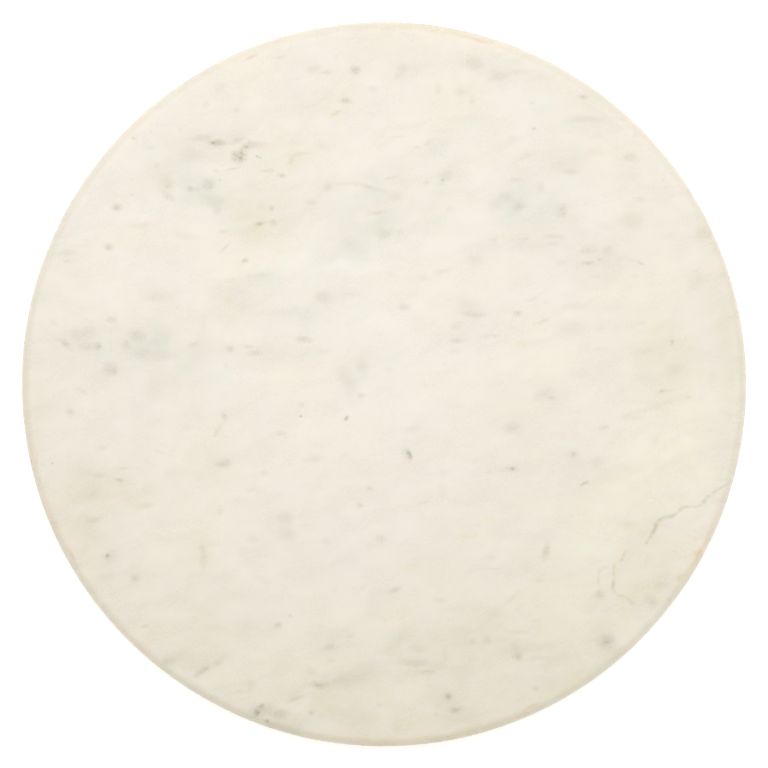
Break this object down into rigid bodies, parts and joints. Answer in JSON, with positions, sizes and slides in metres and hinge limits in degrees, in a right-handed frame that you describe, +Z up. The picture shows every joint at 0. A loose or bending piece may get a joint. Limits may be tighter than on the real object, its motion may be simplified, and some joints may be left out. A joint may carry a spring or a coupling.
{
  "type": "lazy susan turntable",
  "caption": "Round marble turntable that spins on a ball-bearing ring screwed to a smaller round marble base with silicone feet.",
  "frame": {"origin": "on the turning axis, in the plane of the feet's undersides", "axes": "+Z up along the turning axis, with the flat marble top facing +Z; +X and +Y lie in the table plane"},
  "size_m": [0.305, 0.305, 0.0385],
  "materials": {
    "marble": "honed and softly polished cream-white marble with faint grey clouding",
    "aluminium": "machined, clear anodised",
    "ball_steel": "polished bearing steel",
    "zinc_steel": "bright zinc-plated steel",
    "brass": "turned brass",
    "nylon": "natural nylon",
    "silicone": "translucent silicone rubber",
    "tape": "acrylic adhesive disc"
  },
  "bodies": {
    "base": {"base_disc": "marble", "inner_ring": "aluminium", "base_screws": "zinc_steel", "base_washers": "zinc_steel", "foot_1": "silicone", "foot_2": "silicone", "foot_3": "silicone", "foot_4": "silicone", "foot_tape_1": "tape", "foot_tape_2": "tape", "foot_tape_3": "tape", "foot_tape_4": "tape"},
    "turntable": {"marble_top": "marble", "top_inserts": "brass", "outer_ring": "aluminium", "outer_ring_screws": "zinc_steel", "loading_plug": "zinc_steel"},
    "cage": {"ball_cage": "nylon"},
    "ball_01": {"ball_01": "ball_steel"},
    "ball_02": {"ball_02": "ball_steel"},
    "ball_03": {"ball_03": "ball_steel"},
    "ball_04": {"ball_04": "ball_steel"},
    "ball_05": {"ball_05": "ball_steel"},
    "ball_06": {"ball_06": "ball_steel"},
    "ball_07": {"ball_07": "ball_steel"},
    "ball_08": {"ball_08": "ball_steel"},
    "ball_09": {"ball_09": "ball_steel"},
    "ball_10": {"ball_10": "ball_steel"},
    "ball_11": {"ball_11": "ball_steel"},
    "ball_12": {"ball_12": "ball_steel"},
    "ball_13": {"ball_13": "ball_steel"},
    "ball_14": {"ball_14": "ball_steel"},
    "ball_15": {"ball_15": "ball_steel"},
    "ball_16": {"ball_16": "ball_steel"},
    "ball_17": {"ball_17": "ball_steel"},
    "ball_18": {"ball_18": "ball_steel"},
    "ball_19": {"ball_19": "ball_steel"},
    "ball_20": {"ball_20": "ball_steel"},
    "ball_21": {"ball_21": "ball_steel"},
    "ball_22": {"ball_22": "ball_steel"},
    "ball_23": {"ball_23": "ball_steel"},
    "ball_24": {"ball_24": "ball_steel"}
  },
  "joints": [
    {"name": "turntable_spin", "type": "hinge", "parent": "base", "child": "turntable", "pos_m": [0, 0, 0.01925], "axis": [0, 0, 1], "continuous": true},
    {"name": "cage_orbit", "type": "hinge", "parent": "base", "child": "cage", "pos_m": [0, 0, 0.01925], "axis": [0, 0, 1], "continuous": true},
    {"name": "ball_01_roll", "type": "hinge", "parent": "cage", "child": "ball_01", "pos_m": [0.058, 0, 0.01925], "axis": [0, 0, 1], "continuous": true},
    {"name": "ball_02_roll", "type": "hinge", "parent": "cage", "child": "ball_02", "pos_m": [0.05602, 0.01501, 0.01925], "axis": [0, 0, 1], "continuous": true},
    {"name": "ball_03_roll", "type": "hinge", "parent": "cage", "child": "ball_03", "pos_m": [0.05023, 0.029, 0.01925], "axis": [0, 0, 1], "continuous": true},
    {"name": "ball_04_roll", "type": "hinge", "parent": "cage", "child": "ball_04", "pos_m": [0.04101, 0.04101, 0.01925], "axis": [0, 0, 1], "continuous": true},
    {"name": "ball_05_roll", "type": "hinge", "parent": "cage", "child": "ball_05", "pos_m": [0.029, 0.05023, 0.01925], "axis": [0, 0, 1], "continuous": true},
    {"name": "ball_06_roll", "type": "hinge", "parent": "cage", "child": "ball_06", "pos_m": [0.01501, 0.05602, 0.01925], "axis": [0, 0, 1], "continuous": true},
    {"name": "ball_07_roll", "type": "hinge", "parent": "cage", "child": "ball_07", "pos_m": [0, 0.058, 0.01925], "axis": [0, 0, 1], "continuous": true},
    {"name": "ball_08_roll", "type": "hinge", "parent": "cage", "child": "ball_08", "pos_m": [-0.01501, 0.05602, 0.01925], "axis": [0, 0, 1], "continuous": true},
    {"name": "ball_09_roll", "type": "hinge", "parent": "cage", "child": "ball_09", "pos_m": [-0.029, 0.05023, 0.01925], "axis": [0, 0, 1], "continuous": true},
    {"name": "ball_10_roll", "type": "hinge", "parent": "cage", "child": "ball_10", "pos_m": [-0.04101, 0.04101, 0.01925], "axis": [0, 0, 1], "continuous": true},
    {"name": "ball_11_roll", "type": "hinge", "parent": "cage", "child": "ball_11", "pos_m": [-0.05023, 0.029, 0.01925], "axis": [0, 0, 1], "continuous": true},
    {"name": "ball_12_roll", "type": "hinge", "parent": "cage", "child": "ball_12", "pos_m": [-0.05602, 0.01501, 0.01925], "axis": [0, 0, 1], "continuous": true},
    {"name": "ball_13_roll", "type": "hinge", "parent": "cage", "child": "ball_13", "pos_m": [-0.058, 0, 0.01925], "axis": [0, 0, 1], "continuous": true},
    {"name": "ball_14_roll", "type": "hinge", "parent": "cage", "child": "ball_14", "pos_m": [-0.05602, -0.01501, 0.01925], "axis": [0, 0, 1], "continuous": true},
    {"name": "ball_15_roll", "type": "hinge", "parent": "cage", "child": "ball_15", "pos_m": [-0.05023, -0.029, 0.01925], "axis": [0, 0, 1], "continuous": true},
    {"name": "ball_16_roll", "type": "hinge", "parent": "cage", "child": "ball_16", "pos_m": [-0.04101, -0.04101, 0.01925], "axis": [0, 0, 1], "continuous": true},
    {"name": "ball_17_roll", "type": "hinge", "parent": "cage", "child": "ball_17", "pos_m": [-0.029, -0.05023, 0.01925], "axis": [0, 0, 1], "continuous": true},
    {"name": "ball_18_roll", "type": "hinge", "parent": "cage", "child": "ball_18", "pos_m": [-0.01501, -0.05602, 0.01925], "axis": [0, 0, 1], "continuous": true},
    {"name": "ball_19_roll", "type": "hinge", "parent": "cage", "child": "ball_19", "pos_m": [0, -0.058, 0.01925], "axis": [0, 0, 1], "continuous": true},
    {"name": "ball_20_roll", "type": "hinge", "parent": "cage", "child": "ball_20", "pos_m": [0.01501, -0.05602, 0.01925], "axis": [0, 0, 1], "continuous": true},
    {"name": "ball_21_roll", "type": "hinge", "parent": "cage", "child": "ball_21", "pos_m": [0.029, -0.05023, 0.01925], "axis": [0, 0, 1], "continuous": true},
    {"name": "ball_22_roll", "type": "hinge", "parent": "cage", "child": "ball_22", "pos_m": [0.04101, -0.04101, 0.01925], "axis": [0, 0, 1], "continuous": true},
    {"name": "ball_23_roll", "type": "hinge", "parent": "cage", "child": "ball_23", "pos_m": [0.05023, -0.029, 0.01925], "axis": [0, 0, 1], "continuous": true},
    {"name": "ball_24_roll", "type": "hinge", "parent": "cage", "child": "ball_24", "pos_m": [0.05602, -0.01501, 0.01925], "axis": [0, 0, 1], "continuous": true}
  ],
  "couplings": [
    {"joint": "cage_orbit", "follows": "turntable_spin", "ratio": 0.5216},
    {"joint": "ball_01_roll", "follows": "turntable_spin", "ratio": 11.578},
    {"joint": "ball_02_roll", "follows": "turntable_spin", "ratio": 11.578},
    {"joint": "ball_03_roll", "follows": "turntable_spin", "ratio": 11.578},
    {"joint": "ball_04_roll", "follows": "turntable_spin", "ratio": 11.578},
    {"joint": "ball_05_roll", "follows": "turntable_spin", "ratio": 11.578},
    {"joint": "ball_06_roll", "follows": "turntable_spin", "ratio": 11.578},
    {"joint": "ball_07_roll", "follows": "turntable_spin", "ratio": 11.578},
    {"joint": "ball_08_roll", "follows": "turntable_spin", "ratio": 11.578},
    {"joint": "ball_09_roll", "follows": "turntable_spin", "ratio": 11.578},
    {"joint": "ball_10_roll", "follows": "turntable_spin", "ratio": 11.578},
    {"joint": "ball_11_roll", "follows": "turntable_spin", "ratio": 11.578},
    {"joint": "ball_12_roll", "follows": "turntable_spin", "ratio": 11.578},
    {"joint": "ball_13_roll", "follows": "turntable_spin", "ratio": 11.578},
    {"joint": "ball_14_roll", "follows": "turntable_spin", "ratio": 11.578},
    {"joint": "ball_15_roll", "follows": "turntable_spin", "ratio": 11.578},
    {"joint": "ball_16_roll", "follows": "turntable_spin", "ratio": 11.578},
    {"joint": "ball_17_roll", "follows": "turntable_spin", "ratio": 11.578},
    {"joint": "ball_18_roll", "follows": "turntable_spin", "ratio": 11.578},
    {"joint": "ball_19_roll", "follows": "turntable_spin", "ratio": 11.578},
    {"joint": "ball_20_roll", "follows": "turntable_spin", "ratio": 11.578},
    {"joint": "ball_21_roll", "follows": "turntable_spin", "ratio": 11.578},
    {"joint": "ball_22_roll", "follows": "turntable_spin", "ratio": 11.578},
    {"joint": "ball_23_roll", "follows": "turntable_spin", "ratio": 11.578},
    {"joint": "ball_24_roll", "follows": "turntable_spin", "ratio": 11.578}
  ]
}
